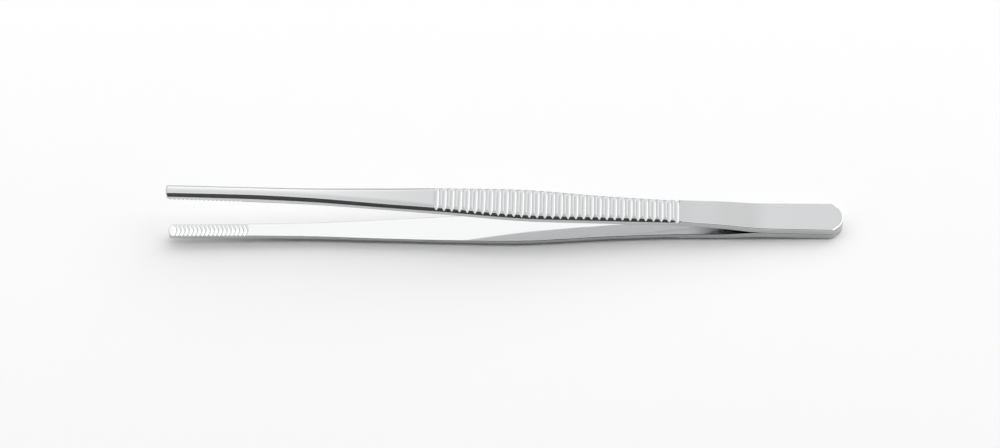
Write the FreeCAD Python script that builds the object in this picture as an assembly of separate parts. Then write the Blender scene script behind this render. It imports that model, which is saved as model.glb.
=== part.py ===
import FreeCAD, Part
import math
import os
from FreeCAD import Vector

# Straight dressing thumb forceps: two forged spring blades, alike but for their jaw teeth,
# welded together at the butt. It is drawn with the butt's end at x = 0, the tips towards -X and
# the plane between the blades at z = 0, then laid down as it comes to rest: on the back of the
# lower blade, touching at the butt's end and at the bow. The finished frame has +X towards the
# butt, +Y across the blades, +Z up, and its origin under the middle of the forceps.

# Lengthwise places, measured from the butt's end; the flare and the start of the round rod lie at
# shares of the way from the front of the grip to the jaws
overall_length = 160.0
weld_length = 18.2
neck_place = 29.0
waist_place = 38.0
grip_rear_place = 41.5
grip_mid_place = 56.0
grip_widest_place = 75.0
grip_front_place = 95.0
flare_share = 0.3
rod_share = 0.71
jaw_length = 18.4

# Width of a blade at those places
butt_width = 8.9
weld_width = 8.5
neck_width = 7.95
waist_width = 7.4
grip_rear_width = 7.55
grip_mid_width = 8.3
grip_widest_width = 9.6
grip_front_width = 7.85
flare_width = 6.4
rod_width = 4.5
jaw_width = 4.05
tip_width = 3.9

# Opening between the inner faces, which starts at the front edge of the weld
neck_gap = 1.9
waist_gap = 2.9
grip_rear_gap = 3.15
grip_mid_gap = 4.45
grip_widest_gap = 6.65
grip_front_gap = 8.75
flare_gap = 9.8
rod_gap = 10.85
jaw_gap = 11.45
tip_gap = 12.3

# Thickness of a blade along its middle
butt_thickness = 1.5
neck_thickness = 1.35
waist_thickness = 1.4
grip_rear_thickness = 1.7
grip_mid_thickness = 1.8
grip_widest_thickness = 1.8
grip_front_thickness = 1.8
flare_thickness = 1.85
rod_thickness = 2.05
jaw_thickness = 2.1
tip_thickness = 1.9

# Height of the flat side wall, from the inner face up to where the shoulder starts to round
butt_wall = 1.25
neck_wall = 1.1
waist_wall = 1.1
grip_rear_wall = 0.4
grip_mid_wall = 0.22
grip_widest_wall = 0.22
grip_front_wall = 0.22
flare_wall = 0.22
rod_wall = 0.25
jaw_wall = 0.25
tip_wall = 0.25

# How far the rounded shoulder runs in from the side; on the rod the two nearly meet
butt_shoulder = 0.25
neck_shoulder = 0.3
waist_shoulder = 0.35
grip_rear_shoulder = 1.3
grip_mid_shoulder = 1.6
grip_widest_shoulder = 1.6
grip_front_shoulder = 1.6
flare_shoulder = 2.1
rod_shoulder = 2.1
jaw_shoulder = 1.95
tip_shoulder = 1.87

# Ends of the blades, seen from above and from the side
butt_end_rise = 2.7
butt_flat_width = 1.2
butt_edge_radius = 0.25
tip_end_rise = 0.6
tip_nose_radius = 0.6

# Ridges of the grip: slightly domed crests with V valleys between them
ridge_count = 31
ridge_pitch = 1.83
ridge_depth = 0.78
ridge_rear_place = 39.3
ridge_flank_run = 0.55
crest_rise = 0.06

# Teeth of the jaws: curved V grooves across the inner faces, half a pitch apart in the two blades
tooth_count = 18
tooth_pitch = 1.0
tooth_depth = 0.28
tooth_width = 0.7
tooth_bend_radius = 4.0
tooth_sweep = 150.0
first_tooth_place = 1.2

# Steps and allowances of the construction: the stretches of the bow and the flats of a shoulder
# stay within 0.03 mm of the smooth curve
station_spacing = 7.0
shoulder_flats = 5
clear_of_part = 2.0
tooth_clear = 0.2
rest_step = 0.5

jaw_place = overall_length - jaw_length
flare_place = grip_front_place + flare_share * (jaw_place - grip_front_place)
rod_place = grip_front_place + rod_share * (jaw_place - grip_front_place)
places = [
    0.0, weld_length, neck_place, waist_place, grip_rear_place, grip_mid_place,
    grip_widest_place, grip_front_place, flare_place, rod_place, jaw_place, overall_length,
]
widths = [
    butt_width, weld_width, neck_width, waist_width, grip_rear_width, grip_mid_width,
    grip_widest_width, grip_front_width, flare_width, rod_width, jaw_width, tip_width,
]
gaps = [
    0.0, 0.0, neck_gap, waist_gap, grip_rear_gap, grip_mid_gap,
    grip_widest_gap, grip_front_gap, flare_gap, rod_gap, jaw_gap, tip_gap,
]
thicknesses = [
    butt_thickness, butt_thickness, neck_thickness, waist_thickness, grip_rear_thickness,
    grip_mid_thickness, grip_widest_thickness, grip_front_thickness, flare_thickness,
    rod_thickness, jaw_thickness, tip_thickness,
]
walls = [
    butt_wall, butt_wall, neck_wall, waist_wall, grip_rear_wall, grip_mid_wall,
    grip_widest_wall, grip_front_wall, flare_wall, rod_wall, jaw_wall, tip_wall,
]
shoulders = [
    butt_shoulder, butt_shoulder, neck_shoulder, waist_shoulder, grip_rear_shoulder,
    grip_mid_shoulder, grip_widest_shoulder, grip_front_shoulder, flare_shoulder,
    rod_shoulder, jaw_shoulder, tip_shoulder,
]
outer_heights = [gap / 2 + thickness for gap, thickness in zip(gaps, thicknesses)]
wall_heights = [gap / 2 + wall for gap, wall in zip(gaps, walls)]


# A smooth curve through given values that never swings past them
def key_slopes(values):
    steps = [(b - a) / (q - p) for a, b, p, q in zip(values, values[1:], places, places[1:])]
    slopes = [steps[0]]
    for before, after in zip(steps, steps[1:]):
        if before * after <= 0:
            slopes.append(0.0)
        else:
            slopes.append(2 * before * after / (before + after))
    slopes.append(steps[-1])
    return slopes


def value_at(place, values):
    slopes = key_slopes(values)
    span = 0
    while span < len(places) - 2 and place > places[span + 1]:
        span = span + 1
    length = places[span + 1] - places[span]
    t = (place - places[span]) / length
    start_share = (1 + 2 * t) * (1 - t) ** 2
    end_share = t * t * (3 - 2 * t)
    start_pull = t * (1 - t) ** 2 * length * slopes[span]
    end_pull = t * t * (t - 1) * length * slopes[span + 1]
    return start_share * values[span] + end_share * values[span + 1] + start_pull + end_pull


def outer_height(place):
    return value_at(place, outer_heights)


# A blade's section: flat side walls, shoulders turned over in a few short flats, and a flat top
def section(place):
    x = -place
    half = value_at(place, widths) / 2
    run = value_at(place, shoulders)
    wall_top = value_at(place, wall_heights)
    rise = outer_height(place) - wall_top
    turns = [math.pi / 2 * i / shoulder_flats for i in range(shoulder_flats + 1)]
    near_side = [Vector(x, half, 0)]
    near_side += [
        Vector(x, half - run * (1 - math.cos(turn)), wall_top + rise * math.sin(turn)) for turn in turns
    ]
    far_side = [Vector(x, -point.y, point.z) for point in reversed(near_side)]
    return Part.makePolygon(near_side + far_side + near_side[:1])


def loft_places():
    stops = []
    for start, end in zip(places[1:], places[2:]):
        parts = max(1, math.ceil((end - start) / station_spacing))
        stops.extend(start + (end - start) * i / parts for i in range(parts))
    return stops + [places[-1]]


# Everything between the plane of symmetry and the blade's outer face, before its ends are
# shaped: a flat sheet trimmed to the sides at the butt, and short straight stretches along the bow
def solid_body():
    side = butt_width + clear_of_part
    sheet = Part.makeBox(weld_length, 2 * side, butt_thickness, Vector(-weld_length, -side, 0))
    sides = Part.makeLoft([section(place) for place in places[:2]], True, True)
    bow = Part.makeLoft([section(place) for place in loft_places()], True, True)
    return sheet.common(sides).fuse(bow)


# Both ends of a blade are shallow arcs in plan, and the butt's has a short straight middle: gives
# how far in from the end an arc's centre lies, and its radius
def end_arc(width, rise, flat_width):
    half = width / 2
    half_flat = flat_width / 2
    inset = (half ** 2 + rise ** 2 - half_flat ** 2) / (2 * rise)
    return inset, math.hypot(inset, half_flat)


def butt_arc():
    return end_arc(butt_width, butt_end_rise, butt_flat_width)


def tip_arc():
    return end_arc(tip_width, tip_end_rise, 0.0)


def arc_edge(centre, start, end):
    middle = (start + end) / 2 - centre
    through = centre + middle.normalize() * (start - centre).Length
    return Part.Arc(start, through, end).toShape()


# Seen from above: the two ends, with the lofted sides left free between them
def plan_outline():
    side = max(widths) / 2 + clear_of_part
    base = -clear_of_part
    height = max(outer_heights) + 2 * clear_of_part
    tip_corner = tip_end_rise - overall_length
    near_side = [
        Vector(0, butt_flat_width / 2, base), Vector(-butt_end_rise, butt_width / 2, base),
        Vector(-butt_end_rise, side, base), Vector(tip_corner, side, base),
        Vector(tip_corner, tip_width / 2, base),
    ]
    far_side = [Vector(point.x, -point.y, base) for point in reversed(near_side)]
    butt_centre = Vector(-butt_arc()[0], 0, base)
    tip_centre = Vector(tip_arc()[0] - overall_length, 0, base)
    edges = [arc_edge(butt_centre, near_side[0], near_side[1])]
    edges += Part.makePolygon(near_side[1:]).Edges
    edges.append(arc_edge(tip_centre, near_side[-1], far_side[0]))
    edges += Part.makePolygon(far_side[:-1]).Edges
    edges.append(arc_edge(butt_centre, far_side[-2], far_side[-1]))
    edges.append(Part.makeLine(far_side[-1], near_side[0]))
    return Part.Face(Part.Wire(edges)).extrude(Vector(0, 0, height))


# The hollow corner that rounds an outer edge, drawn in the plane y = 0 with the edge at x = reach
def corner_profile(reach, radius, top):
    middle = radius * math.sqrt(0.5)
    start = Vector(reach - radius, 0, top)
    through = Vector(start.x + middle, 0, top - radius + middle)
    end = Vector(reach, 0, top - radius)
    lines = Part.makePolygon([
        end, end + Vector(clear_of_part, 0, 0), Vector(reach + clear_of_part, 0, top + clear_of_part),
        start + Vector(0, 0, clear_of_part), start,
    ])
    return Part.Face(Part.Wire([Part.Arc(start, through, end).toShape()] + lines.Edges))


# Rounds the outer edge of an end that is an arc in plan
def ring_round(arc, radius, top, centre_x, towards):
    half_turn = 180.0
    ring = corner_profile(arc[1], radius, top).revolve(Vector(0, 0, 0), Vector(0, 0, 1), half_turn)
    ring.rotate(Vector(0, 0, 0), Vector(0, 0, 1), towards - half_turn / 2)
    ring.translate(Vector(centre_x, 0, 0))
    return ring


def butt_rounding():
    top = outer_height(0.0)
    ring = ring_round(butt_arc(), butt_edge_radius, top, -butt_arc()[0], 0.0)
    bar = corner_profile(0.0, butt_edge_radius, top)
    bar.translate(Vector(0, -butt_width, 0))
    return [ring, bar.extrude(Vector(0, 2 * butt_width, 0))]


def tip_rounding():
    top = outer_height(overall_length)
    return ring_round(tip_arc(), tip_nose_radius, top, tip_arc()[0] - overall_length, 180.0)


# The space under one blade, from the weld's front edge to past the tip
def gap_below():
    side = max(widths) / 2 + clear_of_part
    points = [Vector(-place, -side, gap / 2) for place, gap in zip(places[1:], gaps[1:])]
    lead = Vector(-overall_length - clear_of_part, -side, tip_gap / 2)
    curve = Part.BSplineCurve()
    curve.interpolate(points)
    lines = Part.makePolygon([
        points[-1], lead, Vector(lead.x, -side, -clear_of_part),
        Vector(points[0].x, -side, -clear_of_part), points[0],
    ])
    face = Part.Face(Part.Wire([curve.toShape()] + lines.Edges))
    return face.extrude(Vector(0, 2 * side, 0))


def inner_height(place):
    half_gaps = [gap / 2 for gap in gaps]
    return value_at(place, half_gaps)


# Everything outside the ridged outline of the grip: for each ridge a flank up from the valley,
# a domed crest and a flank down
def grip_space():
    side = max(widths) / 2 + clear_of_part
    flank = ridge_depth - crest_rise
    corners = []
    crests = []
    for i in range(ridge_count + 1):
        place = ridge_rear_place + i * ridge_pitch
        level = outer_height(place) - ridge_depth
        corners.append(Vector(ridge_flank_run - place, -side, level + flank))
        corners.append(Vector(-place, -side, level))
        corners.append(Vector(-place - ridge_flank_run, -side, level + flank))
        crests.append(outer_height(place + ridge_pitch / 2))
    edges = []
    for i, height in enumerate(crests):
        before, valley, after = corners[3 * i:3 * i + 3]
        edges.append(Part.makeLine(before, valley))
        edges.append(Part.makeLine(valley, after))
        if i < ridge_count:
            middle = Vector(valley.x - ridge_pitch / 2, -side, height)
            edges.append(Part.Arc(after, middle, corners[3 * i + 3]).toShape())
    top = max(outer_heights) + clear_of_part
    lip = Vector(ridge_flank_run, 0, flank)
    edges.extend(Part.makePolygon([
        corners[-1], corners[-1] + Vector(-lip.x, 0, lip.z), Vector(corners[-1].x - lip.x, -side, top),
        Vector(corners[0].x + lip.x, -side, top), corners[0] + lip, corners[0],
    ]).Edges)
    face = Part.Face(Part.Wire(edges))
    return face.extrude(Vector(0, 2 * side, 0))


# One curved V groove across the inner face, bowed towards the butt
def tooth_groove(place):
    level = inner_height(place)
    foot = tooth_width / 2 * (1 + tooth_clear / tooth_depth)
    profile = Part.Face(Part.makePolygon([
        Vector(tooth_bend_radius - foot, 0, level - tooth_clear),
        Vector(tooth_bend_radius + foot, 0, level - tooth_clear),
        Vector(tooth_bend_radius, 0, level + tooth_depth),
        Vector(tooth_bend_radius - foot, 0, level - tooth_clear),
    ]))
    groove = profile.revolve(Vector(0, 0, 0), Vector(0, 0, 1), tooth_sweep)
    groove.rotate(Vector(0, 0, 0), Vector(0, 0, 1), -tooth_sweep / 2)
    groove.translate(Vector(-place - tooth_bend_radius, 0, 0))
    return groove


def jaw_grooves(first_tooth):
    tip = overall_length - first_tooth
    return [tooth_groove(tip - i * tooth_pitch) for i in range(tooth_count)]


# One blade, drawn as the upper one
def blade(first_tooth):
    body = solid_body().common(plan_outline())
    body = body.cut([gap_below(), tip_rounding(), grip_space()] + butt_rounding())
    return body.cut(jaw_grooves(first_tooth)).Solids[0]


# The tilt at which the butt's end and the bow of the lower blade touch one flat surface
def rest_tilt():
    steps = math.ceil(overall_length / rest_step)
    spots = [overall_length * (i + 1) / steps for i in range(steps)]
    return max(math.atan2(outer_height(spot) - butt_thickness, spot) for spot in spots)


def laid_down(upper, lower):
    tilt = math.degrees(rest_tilt())
    for piece in (upper, lower):
        piece.rotate(Vector(0, 0, 0), Vector(0, 1, 0), tilt)
    box = Part.makeCompound([upper, lower]).optimalBoundingBox(False, False)
    shift = Vector(-(box.XMin + box.XMax) / 2, 0, -box.ZMin)
    for piece in (upper, lower):
        piece.translate(shift)


upper_blade = blade(first_tooth_place)
lower_blade = blade(first_tooth_place + tooth_pitch / 2).mirror(Vector(0, 0, 0), Vector(0, 0, 1))
laid_down(upper_blade, lower_blade)

os.makedirs("parts", exist_ok=True)
upper_blade.exportStep("parts/upper_blade.step")
lower_blade.exportStep("parts/lower_blade.step")
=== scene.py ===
# %% [markdown]
# This lesson dresses a pair of thumb forceps: two sprung blades of stainless steel, forged alike
# and welded together at the flat butt. Each blade narrows to a neck, bows out to a ridged grip,
# and runs on as a slender half-round rod to a toothed jaw.
#
# First the solid model is opened as a fixed frame. Its box is kept, because the blades that are
# drawn here must stay inside it. Its box is kept: the blades that are drawn here are centred on
# it along their length, and the camera aims at its middle.

import math

import bpy
import numpy as np
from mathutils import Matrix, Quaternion, Vector


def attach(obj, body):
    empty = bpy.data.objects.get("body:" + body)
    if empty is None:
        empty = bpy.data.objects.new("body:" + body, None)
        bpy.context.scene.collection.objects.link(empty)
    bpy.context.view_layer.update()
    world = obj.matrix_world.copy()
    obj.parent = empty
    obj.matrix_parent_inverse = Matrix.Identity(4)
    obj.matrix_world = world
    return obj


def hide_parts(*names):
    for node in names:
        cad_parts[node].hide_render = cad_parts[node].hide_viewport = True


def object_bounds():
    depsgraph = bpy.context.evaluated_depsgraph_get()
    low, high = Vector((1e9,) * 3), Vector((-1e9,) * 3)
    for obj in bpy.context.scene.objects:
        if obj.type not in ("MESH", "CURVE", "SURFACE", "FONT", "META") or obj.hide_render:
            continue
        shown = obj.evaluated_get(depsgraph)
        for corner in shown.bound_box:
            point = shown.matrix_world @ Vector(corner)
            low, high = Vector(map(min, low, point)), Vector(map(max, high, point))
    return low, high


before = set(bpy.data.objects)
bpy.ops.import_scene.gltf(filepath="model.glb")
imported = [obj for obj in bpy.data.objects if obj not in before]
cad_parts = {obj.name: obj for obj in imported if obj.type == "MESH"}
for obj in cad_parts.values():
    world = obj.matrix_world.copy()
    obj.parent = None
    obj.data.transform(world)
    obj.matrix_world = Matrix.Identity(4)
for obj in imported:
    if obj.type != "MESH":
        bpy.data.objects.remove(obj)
cad_low, cad_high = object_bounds()
print("solids in the frame:", sorted(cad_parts))

# %% [markdown]
# The blades could be shown as they come from the solid model, but a polished edge needs a finer
# surface than that. So each blade is drawn again here as one clean grid of four-sided faces,
# from the same sizes, and it takes the place of its solid.
#
# Twelve stations along a blade hold its width, the gap to the other blade, its thickness, the
# height of its side wall and the reach of its rounded shoulder. All are in millimetres, and
# places count from the end of the butt.

# %% The sizes of a blade
MM = 0.001
OVERALL = 160.0
WELD = 18.2
WIDEST = 75.0
GRIP_FRONT = 95.0
JAW_LENGTH = 18.4
FLARE_SHARE = 0.3
ROD_SHARE = 0.71
JAW_START = OVERALL - JAW_LENGTH
FLARE = GRIP_FRONT + FLARE_SHARE * (JAW_START - GRIP_FRONT)
ROD = GRIP_FRONT + ROD_SHARE * (JAW_START - GRIP_FRONT)
PLACES = np.array([0.0, WELD, 29.0, 38.0, 41.5, 56.0, WIDEST, GRIP_FRONT, FLARE, ROD, JAW_START,
                   OVERALL])
WIDTHS = np.array([8.9, 8.5, 7.95, 7.4, 7.55, 8.3, 9.6, 7.85, 6.4, 4.5, 4.05, 3.9])
GAPS = np.array([0.0, 0.0, 1.9, 2.9, 3.15, 4.45, 6.65, 8.75, 9.8, 10.85, 11.45, 12.3])
THICKNESSES = np.array([1.5, 1.5, 1.35, 1.4, 1.7, 1.8, 1.8, 1.8, 1.85, 2.05, 2.1, 1.9])
WALLS = np.array([1.25, 1.25, 1.1, 1.1, 0.4, 0.22, 0.22, 0.22, 0.22, 0.25, 0.25, 0.25])
SHOULDERS = np.array([0.25, 0.25, 0.3, 0.35, 1.3, 1.6, 1.6, 1.6, 2.1, 2.1, 1.95, 1.87])
print("a blade is", OVERALL, "mm long and at most", WIDTHS.max(), "mm wide")

# %% [markdown]
# A blade changes width, bow and thickness smoothly along its length. A draughtsman would lay a
# thin batten through the measured points. Here that batten is a cubic curve whose slope at each
# point is the harmonic mean of the slopes on either side, so it never swings past a point and
# puts no false bulge into the steel.

# %% A smooth curve through the measured points
def batten(values):
    steps = np.diff(values) / np.diff(PLACES)
    slopes = np.empty(len(values))
    slopes[0] = steps[0]
    slopes[-1] = steps[-1]
    before = steps[:-1]
    after = steps[1:]
    same_way = before * after > 0
    total = np.where(same_way, before + after, 1.0)
    slopes[1:-1] = np.where(same_way, 2 * before * after / total, 0.0)

    def at(place):
        place = np.clip(place, PLACES[0], PLACES[-1])
        span = np.clip(np.searchsorted(PLACES, place) - 1, 0, len(PLACES) - 2)
        length = PLACES[span + 1] - PLACES[span]
        t = (place - PLACES[span]) / length
        left = 1 - t
        start = (1 + 2 * t) * left ** 2 * values[span] + t * left ** 2 * length * slopes[span]
        end = t * t * (3 - 2 * t) * values[span + 1] + t * t * (t - 1) * length * slopes[span + 1]
        return start + end

    return at


half_width = batten(WIDTHS / 2)
inner_face = batten(GAPS / 2)
outer_face = batten(GAPS / 2 + THICKNESSES)
wall_top = batten(GAPS / 2 + WALLS)
shoulder_run = batten(SHOULDERS)
widest_gap = float(2 * outer_face(WIDEST))
print("the outer faces stand", round(widest_gap, 2), "mm apart where the grip is widest")

# %% [markdown]
# Steel that has been ground and polished has no knife edges: every corner is broken by up to
# about a tenth of a millimetre, and that is where highlights run. Two small helpers take the
# lower or the higher of two heights and round the corner where they meet.

# %% Rounded meeting of two surfaces
def lower_of(a, b, softness):
    share = np.clip(0.5 + 0.5 * (b - a) / softness, 0, 1)
    return b + (a - b) * share - softness * share * (1 - share)


def higher_of(a, b, softness):
    return -lower_of(-a, -b, softness)


SAMPLE_SOFTNESS = 0.08
sunk = -float(lower_of(0.0, 0.0, SAMPLE_SOFTNESS))
print("a softness of", SAMPLE_SOFTNESS, "mm takes", round(sunk, 3), "mm off a corner")

# %% [markdown]
# The grip has 31 cross ridges with V valleys between them. They are milled straight across the
# rounded blade, so each ridge ends in a curved outline at the side. Bump mapping could fake the
# light on them, but the outline against the table would stay smooth. Here they are real: at
# every station a valley lowers the level that the section may reach.

# %% The ridges of the grip
RIDGES = 31
RIDGE_PITCH = 1.83
FIRST_VALLEY = 39.3
RIDGE_DEPTH = 0.78
FLANK_RUN = 0.55
CREST_RISE = 0.06
EDGE_SOFTNESS = 0.07
VALLEY_SOFTNESS = 0.03
LAST_VALLEY = FIRST_VALLEY + RIDGES * RIDGE_PITCH
FLANK_SLOPE = (RIDGE_DEPTH - CREST_RISE) / FLANK_RUN
FAR_AWAY = 100.0


def valley_near(place):
    number = np.clip(np.round((place - FIRST_VALLEY) / RIDGE_PITCH), 0, RIDGES)
    return FIRST_VALLEY + RIDGE_PITCH * number


def grip_level(place):
    offset = np.abs(place - valley_near(place))
    flank = RIDGE_DEPTH - FLANK_SLOPE * (np.hypot(offset, VALLEY_SOFTNESS) - VALLEY_SOFTNESS)
    to_crest = (RIDGE_PITCH / 2 - offset) / (RIDGE_PITCH / 2 - FLANK_RUN)
    inside = (place > FIRST_VALLEY) & (place < LAST_VALLEY)
    crest = np.where(inside, CREST_RISE * to_crest ** 2, -FAR_AWAY)
    return outer_face(place) - higher_of(flank, crest, EDGE_SOFTNESS)


print("the ridges run from", FIRST_VALLEY, "to", round(LAST_VALLEY, 2), "mm from the butt's end")

# %% [markdown]
# The jaws grip with 18 fine teeth: V grooves across the inner face, each bowed towards the butt
# like the stroke of a round file. The lower blade's grooves lie half a pitch further back, so
# the teeth of one jaw drop into the grooves of the other.

# %% The teeth of the jaws
TEETH = 18
TOOTH_PITCH = 1.0
TOOTH_DEPTH = 0.28
TOOTH_WIDTH = 0.7
TOOTH_BEND = 4.0
TOOTH_SOFTNESS = 0.03
FIRST_TOOTH = 1.2
BOW_REACH = 2.2


def tooth_bow(across):
    reach = np.clip(across, -BOW_REACH, BOW_REACH)
    return TOOTH_BEND - np.sqrt(TOOTH_BEND ** 2 - reach ** 2)


def groove_height(place, across, first_tooth):
    along = OVERALL - first_tooth - (place - tooth_bow(across))
    nearest = np.clip(np.round(along / TOOTH_PITCH), 0, TEETH - 1)
    offset = np.abs(along - nearest * TOOTH_PITCH)
    groove = TOOTH_DEPTH * (1 - np.hypot(offset, TOOTH_SOFTNESS) / (TOOTH_WIDTH / 2))
    return higher_of(groove, np.zeros_like(groove), TOOTH_SOFTNESS)


print("the teeth run back to", FIRST_TOOTH + (TEETH - 1) * TOOTH_PITCH, "mm from the tip")

# %% [markdown]
# Seen from above, the butt and the tip end in shallow arcs, the butt's with a short straight
# middle, and the outer edge of both is rounded over: a small radius at the butt, a blunt nose at
# the tip. The height of the outer face is then the lowest of three: the section, the ridge level
# and the end rounding.

# %% The height of the outer face anywhere on a blade
BUTT_RISE = 2.7
BUTT_FLAT = 0.6
BUTT_EDGE = 0.25
TIP_RISE = 0.6
NOSE = 0.6
SECTION_SOFTNESS = 0.05
BUTT_INSET = ((WIDTHS[0] / 2) ** 2 + BUTT_RISE ** 2 - BUTT_FLAT ** 2) / (2 * BUTT_RISE)
BUTT_ARC = math.hypot(BUTT_INSET, BUTT_FLAT)
TIP_ARC = ((WIDTHS[-1] / 2) ** 2 + TIP_RISE ** 2) / (2 * TIP_RISE)


def arc_of_end(across, inset, arc, flat):
    return inset - np.sqrt(np.maximum(arc ** 2 - np.maximum(np.abs(across), flat) ** 2, 0))


def rounded_end(reach, radius, top):
    over = np.clip(reach + radius, 0, radius)
    rounding = top - radius + np.sqrt(np.maximum(radius ** 2 - over ** 2, 0))
    return np.where(over > 0, rounding, FAR_AWAY)


def section_height(place, across):
    run = shoulder_run(place)
    out = np.clip((np.abs(across) - half_width(place) + run) / run, 0, 1)
    return wall_top(place) + (outer_face(place) - wall_top(place)) * np.sqrt(1 - out ** 2)


def outer_height(place, across, ridged):
    height = section_height(place, across)
    if ridged:
        height = lower_of(height, grip_level(place), SECTION_SOFTNESS)
    past_butt = np.hypot(np.maximum(BUTT_INSET - place, 0), across) - BUTT_ARC
    past_butt = np.where(place < BUTT_INSET, np.maximum(past_butt, -place), -FAR_AWAY)
    past_tip = np.hypot(np.maximum(place - OVERALL + TIP_ARC, 0), across) - TIP_ARC
    past_tip = np.where(place > OVERALL - TIP_ARC, past_tip, -FAR_AWAY)
    height = np.minimum(height, rounded_end(past_butt, BUTT_EDGE, outer_face(0.0)))
    return np.minimum(height, rounded_end(past_tip, NOSE, outer_face(OVERALL)))


print("arc of the butt", round(BUTT_ARC, 2), "mm, arc of the tip", round(TIP_ARC, 2), "mm")

# %% [markdown]
# A clean mesh follows the form. Its rows cross the blade, and they are set close only where the
# form turns quickly: at the rounded ends, over each ridge and over each tooth. A row has a place
# along the blade and three shares that bend it in plan: to the arc of the butt, to the bow of
# the teeth and to the arc of the tip. The shares fade in and out, so no two rows ever cross.

# %% The rows across a blade
BUTT_STEPS = (0.0, 0.006, 0.025, 0.06, 0.11, 0.17, 0.25)
BUTT_FADE = 3.95
BUTT_FADE_ROWS = 12
FIRST_FLAT_ROW = 5.6
FLAT_ROW_STEP = 1.4
FLAT_ROWS_SHORT = 0.4
BENT_ROWS = 44
FLANK_STEPS = np.array([0.0, 0.04, 0.14, 0.3, 0.44, 0.51, 0.57, 0.64, 0.76, 0.915])
GRIP_BEFORE = 0.95
GRIP_AFTER = 1.5
BOW_START = 134.0
BOW_ROWS = 14
BOW_SHORT = 0.7
TOOTH_STEPS = (-0.5, -0.4, -0.34, -0.24, -0.12, 0.0, 0.12, 0.24, 0.34, 0.4)
TEETH_IN_TIP = 2
TIP_ROW_STEP = 0.07
TIP_STEPS = (0.45, 0.37, 0.3, 0.23, 0.17, 0.12, 0.07, 0.03, 0.008, 0.0)
TIP_STEPS_FROM = 0.5


def rows_of_blade(first_tooth):
    rows = []

    def add(place, butt=0.0, bow=0.0, tip=0.0):
        rows.append((place, butt, bow, tip))

    for inset in BUTT_STEPS:
        add(inset, butt=1.0)
    for step in range(1, BUTT_FADE_ROWS + 1):
        add(BUTT_STEPS[-1] + BUTT_FADE * step / BUTT_FADE_ROWS, butt=1 - step / BUTT_FADE_ROWS)
    for place in np.arange(FIRST_FLAT_ROW, WELD - FLAT_ROWS_SHORT, FLAT_ROW_STEP):
        add(place)
    for place in np.linspace(WELD, FIRST_VALLEY - GRIP_BEFORE, BENT_ROWS):
        add(place)
    for valley in range(RIDGES + 1):
        centre = FIRST_VALLEY + valley * RIDGE_PITCH
        before = -FLANK_STEPS[:0:-1] if valley == 0 else -FLANK_STEPS[-2:0:-1]
        for offset in np.concatenate([before, FLANK_STEPS]):
            add(centre + offset)
    for place in np.linspace(LAST_VALLEY + GRIP_AFTER, BOW_START, BENT_ROWS):
        add(place)
    last_tooth = OVERALL - first_tooth - (TEETH - 1) * TOOTH_PITCH
    bow_reach = last_tooth - BOW_SHORT - BOW_START
    for step in range(1, BOW_ROWS + 1):
        add(BOW_START + bow_reach * step / BOW_ROWS, bow=step / BOW_ROWS)
    teeth_shown = TEETH - TEETH_IN_TIP
    for tooth in range(teeth_shown):
        for offset in TOOTH_STEPS:
            add(last_tooth + tooth * TOOTH_PITCH + offset, bow=1.0)
    start = last_tooth + (teeth_shown - 0.5) * TOOTH_PITCH
    reach = OVERALL - start
    for short in np.concatenate([np.arange(reach, TIP_STEPS_FROM, -TIP_ROW_STEP), TIP_STEPS]):
        add(OVERALL - short, bow=short / reach, tip=1 - short / reach)
    return np.array(rows)


def place_of(row, across):
    place, butt, bow, tip = row
    butt_bend = arc_of_end(across, BUTT_INSET, BUTT_ARC, BUTT_FLAT)
    tip_bend = arc_of_end(across, TIP_ARC, TIP_ARC, 0.0)
    return place + butt * butt_bend + bow * tooth_bow(across) - tip * tip_bend


print("rows across the upper blade:", len(rows_of_blade(FIRST_TOOTH)))

# %% [markdown]
# Along a row the points crowd towards the side, where the shoulder turns down. On the grip the
# milled level cuts the shoulder at a point that moves with each ridge, so the points are set
# from that corner: then every ridge outline is a clean line of edges and not a ragged one.

# %% The points along a row
SHOULDER_STEPS = 8
FLAT_STEPS = 7
CORNER_SPREAD = 0.05
LEAST_TURN = 0.2
LEAST_INNER = 0.4
SIDE_PASSES = 4


def points_along(row, ridged):
    side = half_width(row[0])
    for _ in range(SIDE_PASSES):
        side = half_width(place_of(row, side))
    place = place_of(row, side)
    run = shoulder_run(place)
    rise = outer_face(place) - wall_top(place)
    level = grip_level(place) if ridged else outer_face(place)
    reached = np.clip((level - wall_top(place)) / rise, 0, 1)
    turn = max(float(np.arcsin(reached)), LEAST_TURN)
    turns = turn * np.arange(SHOULDER_STEPS + 1) / SHOULDER_STEPS
    down = side - run * (1 - np.cos(turns))
    corner = down[-1]
    spread = min(CORNER_SPREAD, 0.5 * (down[-2] - corner))
    inner = max(corner - CORNER_SPREAD, LEAST_INNER * corner)
    flat = inner * (1 - np.arange(1, FLAT_STEPS + 1) / FLAT_STEPS)
    half = np.concatenate([down[:-1], [corner + spread, corner, inner], flat])
    return np.concatenate([half, -half[-2::-1]])


end_row = rows_of_blade(FIRST_TOOTH)[0]
print("points along a row:", len(points_along(end_row, False)))

# %% [markdown]
# The outer and the inner face are two grids with the same rows and points. At its border the
# inner face is set in a little, because polishing has rolled that edge off. The narrow slope, in
# the painted-shade colour of the side walls, draws the thin grey line along the far side of the
# lower blade, and where the two blades meet at the butt it leaves the fine V of the weld seam.

# %% The points of the outer and the inner face
EDGE_INSET = 0.14
GRIP_MARGIN = 1.0


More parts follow.
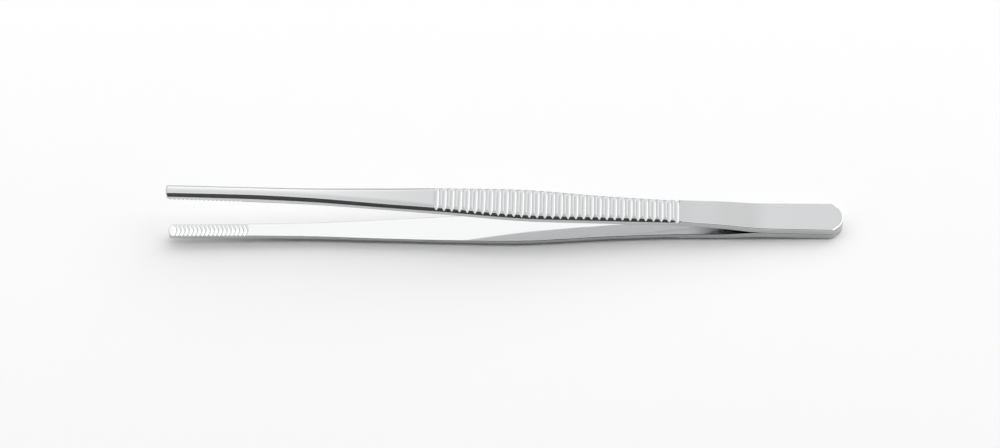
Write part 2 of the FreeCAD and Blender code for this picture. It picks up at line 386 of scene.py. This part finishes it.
def outer_and_inner(first_tooth):
    rows = rows_of_blade(first_tooth)
    past_back = rows[:, 0] > FIRST_VALLEY - GRIP_MARGIN
    short_of_front = rows[:, 0] < LAST_VALLEY + GRIP_MARGIN
    grip = past_back & short_of_front
    across = np.array([points_along(row, ridged) for row, ridged in zip(rows, grip)])
    place = np.array([place_of(row, points) for row, points in zip(rows, across)])
    height = np.array([outer_height(p, a, g) for p, a, g in zip(place, across, grip)])
    side = np.abs(across[:, :1])
    inset = across * (side - EDGE_INSET) / side
    end_share = np.clip(1 - place, 0, 1) - np.clip(1 - (OVERALL - place), 0, 1)
    inset_place = place + EDGE_INSET * end_share
    under = inner_face(place) + groove_height(place, across, first_tooth)
    outer = np.stack([-place, across, height], axis=-1)
    inner = np.stack([-inset_place, inset, under], axis=-1)
    return outer, inner


upper_outer, upper_inner = outer_and_inner(FIRST_TOOTH)
print("each face of a blade is a grid of", upper_outer.shape[:2], "points")

# %% [markdown]
# Each face of the mesh gets the number of its finish. A tool has cut bright metal last in the
# valleys of the grip. Round the edges of the neck and the butt the same bright colour is a
# painted highlight. A face counts as milled when it lies clearly below the uncut section, so the
# metal beside a valley keeps its satin.

# %% Where a tool cut last, and where a highlight is painted
SATIN_FACE, BRIGHT_FACE, EDGE_FACE_PAINTED_SHADE, CUT_AND_HIGHLIGHT_FACE = range(4)
EDGE_DROP = 0.004
MILLED_DROP = 0.03


def cut_faces_and_painted_highlight(outer, quads):
    place = -outer[..., 0]
    uncut = section_height(place, outer[..., 1])
    middle = place.reshape(-1)[quads].mean(axis=1)
    height = outer[..., 2].reshape(-1)[quads].mean(axis=1)
    milled_off = uncut.reshape(-1)[quads].mean(axis=1) - height
    in_valley = (np.abs(middle - valley_near(middle)) < FLANK_RUN) & (milled_off > MILLED_DROP)
    behind_grip = middle < FIRST_VALLEY - GRIP_MARGIN
    # Painted highlight: the rounded edges of the neck and the butt take the bright cut colour.
    painted_highlight_edge = (outer_face(middle) - height > EDGE_DROP) & behind_grip
    return in_valley | painted_highlight_edge


print("finishes are numbered", SATIN_FACE, BRIGHT_FACE, EDGE_FACE_PAINTED_SHADE, CUT_AND_HIGHLIGHT_FACE)

# %% [markdown]
# Now the blade can be knitted from four-sided faces: two grids, and two strips that close the
# side. One strip is the side wall, the other is the rolled edge beside the inner face. Building
# the faces by number keeps them all in order, with no hole and no face left over.

# %% Knit the faces of a blade
EDGE_HEIGHT = 0.06
LEAST_WALL = 0.01


def grid_faces(rows, columns, first, flipped):
    corner = first + np.arange(rows - 1)[:, None] * columns + np.arange(columns - 1)[None, :]
    around = [corner, corner + 1, corner + columns + 1, corner + columns]
    quads = np.stack(around, axis=-1).reshape(-1, 4)
    return quads[:, ::-1] if flipped else quads


def border(rows, columns, first):
    start = [first + c for c in range(columns)]
    far_side = [first + r * columns + columns - 1 for r in range(1, rows)]
    end = [first + (rows - 1) * columns + c for c in range(columns - 2, -1, -1)]
    near_side = [first + r * columns for r in range(rows - 2, 0, -1)]
    return np.array(start + far_side + end + near_side)


def strip_faces(loop_a, loop_b):
    return np.stack([loop_a, loop_b, np.roll(loop_b, -1), np.roll(loop_a, -1)], axis=-1)


def knit_blade(outer, inner):
    count, columns = outer.shape[:2]
    first_inner = count * columns
    outer_loop = border(count, columns, 0)
    inner_loop = border(count, columns, first_inner)
    rim_loop = 2 * first_inner + np.arange(len(outer_loop))
    points = np.concatenate([outer.reshape(-1, 3), inner.reshape(-1, 3)])
    rim = points[outer_loop].copy()
    rim[:, 2] = np.minimum(points[inner_loop][:, 2] + EDGE_HEIGHT, rim[:, 2] - LEAST_WALL)
    outer_quads = grid_faces(count, columns, 0, False)
    cut_and_highlight = cut_faces_and_painted_highlight(outer, outer_quads)
    groups = [
        (outer_quads[~cut_and_highlight], SATIN_FACE),
        (outer_quads[cut_and_highlight], CUT_AND_HIGHLIGHT_FACE),
        (grid_faces(count, columns, first_inner, True), BRIGHT_FACE),
        # Side wall and rolled edge, in polished steel with painted shade.
        (strip_faces(outer_loop, rim_loop), EDGE_FACE_PAINTED_SHADE),
        (strip_faces(rim_loop, inner_loop), EDGE_FACE_PAINTED_SHADE),
    ]
    quads = np.concatenate([group for group, _ in groups])
    finishes = np.concatenate([np.full(len(group), finish) for group, finish in groups])
    return np.concatenate([points, rim]), quads, finishes


upper_points, upper_quads, upper_finishes = knit_blade(upper_outer, upper_inner)
print("a blade has", len(upper_points), "points and", len(upper_quads), "faces")

# %% [markdown]
# Laid on a table, open forceps rock back until the end of the butt and the bow of the lower
# grip touch. That tilt follows from the sizes alone: it is the steepest line from the butt's
# lower edge to any point of the bow. The lower blade is the upper one mirrored, and mirroring
# turns its faces inside out, so the corners of each are named in reverse.

# %% Lay the blades on the table
STEEL_TURN = math.radians(35)
FIRST_SPOT = 0.5
SPOTS = 320
spots = np.linspace(FIRST_SPOT, OVERALL, SPOTS)
tilt = float(np.arctan2(outer_face(spots) - outer_face(0.0), spots).max())
print("the forceps lie tilted by", round(math.degrees(tilt), 3), "degrees")


def laid_down(points):
    turned = points.copy()
    turned[:, 0] = points[:, 0] * math.cos(tilt) + points[:, 2] * math.sin(tilt)
    turned[:, 2] = points[:, 2] * math.cos(tilt) - points[:, 0] * math.sin(tilt)
    return turned


lower_outer, lower_inner = outer_and_inner(FIRST_TOOTH + TOOTH_PITCH / 2)
lower_points, lower_quads, lower_finishes = knit_blade(lower_outer, lower_inner)
MIRRORED = np.array([1.0, 1.0, -1.0])
upper_laid = laid_down(upper_points)
lower_laid = laid_down(lower_points * MIRRORED)
both = np.concatenate([upper_laid, lower_laid])
cad_middle = (cad_low[0] + cad_high[0]) / 2 / MM
shift = np.array([cad_middle - (both[:, 0].min() + both[:, 0].max()) / 2, 0.0, -both[:, 2].min()])


def make_blade(name, points, quads, face_finishes, node):
    mesh = bpy.data.meshes.new(name)
    mesh.from_pydata(((points + shift) * MM).tolist(), [], quads.tolist())
    mesh.validate()
    mesh.shade_smooth()
    mesh.set_sharp_from_angle(angle=STEEL_TURN)
    mesh.polygons.foreach_set("material_index", face_finishes.astype(np.int32))
    blade = bpy.data.objects.new(name, mesh)
    bpy.context.scene.collection.objects.link(blade)
    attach(blade, "root")
    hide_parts(node)
    return blade


lower_quads = lower_quads[:, ::-1]
upper = make_blade("upper_blade_steel", upper_laid, upper_quads, upper_finishes, "upper_blade")
lower = make_blade("lower_blade_steel", lower_laid, lower_quads, lower_finishes, "lower_blade")
print("blades span", [round(float(v), 2) for v in np.ptp(both, axis=0)], "mm")

# %% [markdown]
# The steel carries four finishes. The outer faces are satin: drawn along a fine belt, so they
# keep hair lines that run lengthwise. The inner faces are polished bright. The narrow side walls
# and the rolled edges are polished steel painted darker, a painted shade along the sides.
# The valleys keep a bright cut, and on the rounded edges of the neck and the butt that bright
# colour is a painted highlight. One node group makes the hair lines and the faint cloudiness of
# hand finishing for all four, and each material sets how strong they are.

# %% A group for ground steel
def group_socket(group, name, way, kind, value=None):
    socket = group.interface.new_socket(name=name, in_out=way, socket_type=kind)
    if value is not None:
        socket.default_value = value
    return socket


HAIR_STRETCH = (60.0, 5200.0, 5200.0)
HAIR_DETAIL = 3.0
CLOUD_SCALE = 160.0
CLOUD_DETAIL = 2.0
ground = bpy.data.node_groups.new("ground steel", "ShaderNodeTree")
group_socket(ground, "Hair Line Size", "INPUT", "NodeSocketFloat", 1.0)
group_socket(ground, "Roughness", "INPUT", "NodeSocketFloat", 0.2)
group_socket(ground, "Roughness Spread", "INPUT", "NodeSocketFloat", 0.05)
group_socket(ground, "Roughness", "OUTPUT", "NodeSocketFloat")
group_socket(ground, "Hair Lines", "OUTPUT", "NodeSocketFloat")

nodes = ground.nodes
links = ground.links
inputs = nodes.new("NodeGroupInput")
outputs = nodes.new("NodeGroupOutput")
where = nodes.new("ShaderNodeTexCoord")
stretch = nodes.new("ShaderNodeMapping")
stretch.inputs["Scale"].default_value = HAIR_STRETCH
links.new(where.outputs["Object"], stretch.inputs["Vector"])
hair = nodes.new("ShaderNodeTexNoise")
hair.inputs["Detail"].default_value = HAIR_DETAIL
links.new(stretch.outputs["Vector"], hair.inputs["Vector"])
links.new(inputs.outputs["Hair Line Size"], hair.inputs["Scale"])
cloud = nodes.new("ShaderNodeTexNoise")
cloud.inputs["Scale"].default_value = CLOUD_SCALE
cloud.inputs["Detail"].default_value = CLOUD_DETAIL
links.new(where.outputs["Object"], cloud.inputs["Vector"])
mixed = nodes.new("ShaderNodeMath")
mixed.operation = "ADD"
links.new(hair.outputs["Fac"], mixed.inputs[0])
links.new(cloud.outputs["Fac"], mixed.inputs[1])
centred = nodes.new("ShaderNodeMath")
centred.operation = "SUBTRACT"
links.new(mixed.outputs["Value"], centred.inputs[0])
centred.inputs[1].default_value = 1.0
spread = nodes.new("ShaderNodeMath")
spread.operation = "MULTIPLY_ADD"
links.new(centred.outputs["Value"], spread.inputs[0])
links.new(inputs.outputs["Roughness Spread"], spread.inputs[1])
links.new(inputs.outputs["Roughness"], spread.inputs[2])
links.new(spread.outputs["Value"], outputs.inputs["Roughness"])
links.new(hair.outputs["Fac"], outputs.inputs["Hair Lines"])
print("ground steel group puts out", [s.name for s in outputs.inputs if s.name])

# %% [markdown]
# The satin is painted brighter along the slender rods towards the tips: a painted highlight for
# the white line of light along each rod. The inner faces are painted dark in the narrow wedge in
# front of the weld: a painted shade where the two blades close in on each other. A second group
# fades one colour into another along the blade, and both of these finishes use it.

# %% A group that fades a colour along the blade
fade = bpy.data.node_groups.new("fade along the blade", "ShaderNodeTree")
group_socket(fade, "From X", "INPUT", "NodeSocketFloat", 0.0)
group_socket(fade, "To X", "INPUT", "NodeSocketFloat", 0.01)
group_socket(fade, "First Colour", "INPUT", "NodeSocketColor")
group_socket(fade, "Last Colour", "INPUT", "NodeSocketColor")
group_socket(fade, "Colour", "OUTPUT", "NodeSocketColor")

nodes = fade.nodes
links = fade.links
inputs = nodes.new("NodeGroupInput")
outputs = nodes.new("NodeGroupOutput")
where = nodes.new("ShaderNodeTexCoord")
axes = nodes.new("ShaderNodeSeparateXYZ")
share = nodes.new("ShaderNodeMapRange")
share.interpolation_type = "SMOOTHSTEP"
blend = nodes.new("ShaderNodeMix")
blend.data_type = "RGBA"
MIX_FIRST = 6
MIX_LAST = 7
MIX_RESULT = 2
links.new(where.outputs["Object"], axes.inputs["Vector"])
links.new(axes.outputs["X"], share.inputs["Value"])
links.new(inputs.outputs["From X"], share.inputs["From Min"])
links.new(inputs.outputs["To X"], share.inputs["From Max"])
links.new(share.outputs["Result"], blend.inputs["Factor"])
links.new(inputs.outputs["First Colour"], blend.inputs[MIX_FIRST])
links.new(inputs.outputs["Last Colour"], blend.inputs[MIX_LAST])
links.new(blend.outputs[MIX_RESULT], outputs.inputs["Colour"])
print("fade group takes", [s.name for s in inputs.outputs if s.name])

# %% [markdown]
# Each finish is a metallic surface. Satin steel scatters part of its light between the hair
# lines and looks greyer; polished steel gives back more of it. The hair lines feed a very
# shallow bump, because on real steel they are less than a thousandth of a millimetre deep.

# %% The four finishes
def steel(name, colour, roughness, roughness_spread, line_size, line_depth):
    material = bpy.data.materials.new(name)
    material.use_nodes = True
    tree = material.node_tree
    surface = tree.nodes["Principled BSDF"]
    surface.inputs["Base Color"].default_value = (*colour, 1.0)
    surface.inputs["Metallic"].default_value = 1.0
    grinding = tree.nodes.new("ShaderNodeGroup")
    grinding.node_tree = ground
    grinding.inputs["Hair Line Size"].default_value = line_size
    grinding.inputs["Roughness"].default_value = roughness
    grinding.inputs["Roughness Spread"].default_value = roughness_spread
    bump = tree.nodes.new("ShaderNodeBump")
    bump.inputs["Strength"].default_value = 1.0
    bump.inputs["Distance"].default_value = line_depth
    tree.links.new(grinding.outputs["Hair Lines"], bump.inputs["Height"])
    tree.links.new(grinding.outputs["Roughness"], surface.inputs["Roughness"])
    tree.links.new(bump.outputs["Normal"], surface.inputs["Normal"])
    return material


def fade_colour(material, from_x, to_x, first, last):
    tree = material.node_tree
    along = tree.nodes.new("ShaderNodeGroup")
    along.node_tree = fade
    along.inputs["From X"].default_value = from_x
    along.inputs["To X"].default_value = to_x
    along.inputs["First Colour"].default_value = (*first, 1.0)
    along.inputs["Last Colour"].default_value = (*last, 1.0)
    tree.links.new(along.outputs["Colour"], tree.nodes["Principled BSDF"].inputs["Base Color"])


SATIN = (0.49, 0.494, 0.498)
# Painted highlight: a brighter satin on the rods, for the white line of light along them.
SATIN_ROD_PAINTED_HIGHLIGHT = (0.63, 0.634, 0.638)
POLISHED = (0.69, 0.694, 0.698)
# Painted shade: the inner faces darkened in the narrow wedge in front of the weld.
POLISHED_WEDGE_PAINTED_SHADE = (0.25, 0.252, 0.254)
# Painted shade: the side walls and rolled edges, polished steel painted darker.
POLISHED_EDGE_PAINTED_SHADE = (0.47, 0.474, 0.478)
# Bright cut in the grip's valleys; on the edges of the neck and butt it is a painted highlight.
BRIGHT_CUT_AND_HIGHLIGHT = (0.72, 0.724, 0.728)
satin = steel("satin outer steel", SATIN,
              roughness=0.13, roughness_spread=0.05, line_size=1.0, line_depth=4e-7)
bright = steel("polished inner steel", POLISHED,
               roughness=0.07, roughness_spread=0.03, line_size=0.6, line_depth=1e-7)
painted_shade_edge_steel = steel("polished side steel with painted shade", POLISHED_EDGE_PAINTED_SHADE,
             roughness=0.14, roughness_spread=0.03, line_size=0.8, line_depth=2e-7)
cut_and_highlight = steel("bright milled steel with painted highlight", BRIGHT_CUT_AND_HIGHLIGHT,
            roughness=0.1, roughness_spread=0.03, line_size=0.8, line_depth=2e-7)
# The satin fades to the painted highlight colour along the rods, towards the tips.
fade_colour(satin, from_x=-0.06, to_x=-0.015, first=SATIN_ROD_PAINTED_HIGHLIGHT, last=SATIN)
# The inner faces fade to painted shade in the wedge in front of the weld.
fade_colour(bright, from_x=0.042, to_x=0.058, first=POLISHED, last=POLISHED_WEDGE_PAINTED_SHADE)
for blade in (upper, lower):
    for finish in (satin, bright, painted_shade_edge_steel, cut_and_highlight):
        blade.data.materials.append(finish)
print("finishes:", [m.name for m in upper.data.materials])

# %% [markdown]
# Bright steel shows only what surrounds it, so the studio is part of the finish. The forceps lie
# on a plain white table. A photographer puts a black card on the camera's side, high and out of
# the picture: it draws the dark line along each rounded shoulder that makes the form readable.
# The card is marked as not seen by the camera.

# %% Table and black card
DULL = 0.9
TABLE_WHITE = 0.97
CARD_BLACK = 0.09


def dull_material(name, level):
    material = bpy.data.materials.new(name)
    material.use_nodes = True
    surface = material.node_tree.nodes["Principled BSDF"]
    surface.inputs["Base Color"].default_value = (level, level, level, 1.0)
    surface.inputs["Roughness"].default_value = DULL
    surface.inputs["Specular IOR Level"].default_value = 0.0
    return material


def flat_sheet(name, corners_m, material):
    mesh = bpy.data.meshes.new(name)
    mesh.from_pydata(corners_m, [], [(0, 1, 2, 3)])
    sheet = bpy.data.objects.new(name, mesh)
    sheet.data.materials.append(material)
    bpy.context.scene.collection.objects.link(sheet)
    return sheet


TABLE = 3.0
table = flat_sheet(
    "table",
    [(-TABLE, -TABLE, 0), (TABLE, -TABLE, 0), (TABLE, TABLE, 0), (-TABLE, TABLE, 0)],
    dull_material("white table", TABLE_WHITE),
)
CARD_HALF = 1.1
CARD_NEAR = 0.75
CARD_LEAN = 0.8
CARD_TOP = 1.15
CARD_TOP_NEAR = CARD_NEAR * CARD_LEAN
card = flat_sheet(
    "black card",
    [(-CARD_HALF, -CARD_NEAR, 0), (CARD_HALF, -CARD_NEAR, 0),
     (CARD_HALF, -CARD_TOP_NEAR, CARD_TOP), (-CARD_HALF, -CARD_TOP_NEAR, CARD_TOP)],
    dull_material("black card", CARD_BLACK),
)
card.visible_camera = False
covered = math.degrees(math.atan2(CARD_TOP, CARD_TOP_NEAR))
print("the card covers", round(covered), "degrees above the table")

# %% [markdown]
# The room is light but not flat. It is dim at the horizon and brightest from about 15 to 40
# degrees above it, which draws the white line along each rod. It is also lighter at the right
# than at the left, so that the two flanks of every valley differ. Lamps could do this, but
# polished steel would show each one as a spot. Two curves on the world do it softly: one sets
# its level by height, the other by side.

# %% The light room
world = bpy.data.worlds.new("light room")
world.use_nodes = True
sky = world.node_tree.nodes["Background"]
direction = world.node_tree.nodes.new("ShaderNodeTexCoord")
heading = world.node_tree.nodes.new("ShaderNodeSeparateXYZ")
sideways = world.node_tree.nodes.new("ShaderNodeMath")
sideways.operation = "MULTIPLY_ADD"
HALF = 0.5
sideways.inputs[1].default_value = HALF
sideways.inputs[2].default_value = HALF
world.node_tree.links.new(direction.outputs["Generated"], heading.inputs["Vector"])
world.node_tree.links.new(heading.outputs["X"], sideways.inputs[0])


def room_ramp(levels, source, target):
    ramp = world.node_tree.nodes.new("ShaderNodeValToRGB")
    while len(ramp.color_ramp.elements) < len(levels):
        ramp.color_ramp.elements.new(HALF)
    for element, (place, level) in zip(ramp.color_ramp.elements, levels):
        element.position = place
        element.color = (level, level, level, 1.0)
    world.node_tree.links.new(source, ramp.inputs["Fac"])
    world.node_tree.links.new(ramp.outputs["Color"], target)


BY_HEIGHT = ((0.0, 0.25), (0.06, 0.3), (0.18, 0.6), (0.28, 1.6), (0.45, 1.7), (0.62, 1.5),
             (0.72, 1.4), (0.85, 1.3), (1.0, 1.1))
BY_SIDE = ((0.0, 0.64), (0.33, 0.69), (0.42, 0.93), (0.53, 0.99), (0.6, 0.81), (0.67, 1.26),
           (1.0, 1.26))
room_ramp(BY_HEIGHT, heading.outputs["Z"], sky.inputs["Color"])
room_ramp(BY_SIDE, sideways.outputs["Value"], sky.inputs["Strength"])
bpy.context.scene.world = world
print("the room has", len(BY_HEIGHT), "levels by height and", len(BY_SIDE), "by side")

# %% [markdown]
# The camera looks down at about 45 degrees, along a line almost square to the forceps, from a
# little over a metre away. From so far the near and the far edge come out almost parallel. The
# picture is turned by a few degrees, so the forceps slope gently across it.

# %% The camera
AZIMUTH = math.radians(4.4)
ELEVATION = math.radians(45.4)
ROLL = math.radians(4.3)
DISTANCE = 1.16
PIXELS_PER_MM = 4.2315
PICTURE_WIDTH = 1000
SENSOR = 36.0
camera_data = bpy.data.cameras.new("camera")
camera_data.sensor_width = SENSOR
camera_data.lens = SENSOR * DISTANCE / (PICTURE_WIDTH / PIXELS_PER_MM * MM)
camera = bpy.data.objects.new("camera", camera_data)
back = Vector((
    math.sin(AZIMUTH) * math.cos(ELEVATION),
    -math.cos(AZIMUTH) * math.cos(ELEVATION),
    math.sin(ELEVATION),
))
turn = (-back).to_track_quat("-Z", "Y") @ Quaternion((0, 0, 1), -ROLL)
aim = (cad_low + cad_high) / 2
right = turn @ Vector((1, 0, 0))
up = turn @ Vector((0, 1, 0))
OBJECT_IN_PICTURE = (3.3, 17.1)
aim -= (right * OBJECT_IN_PICTURE[0] + up * OBJECT_IN_PICTURE[1]) / PIXELS_PER_MM * MM
camera.location = aim + back * DISTANCE
camera.rotation_mode = "QUATERNION"
camera.rotation_quaternion = turn
bpy.context.scene.collection.objects.link(camera)
bpy.context.scene.camera = camera
bpy.context.scene.view_settings.view_transform = "Standard"
print("lens", round(camera_data.lens, 1), "mm")
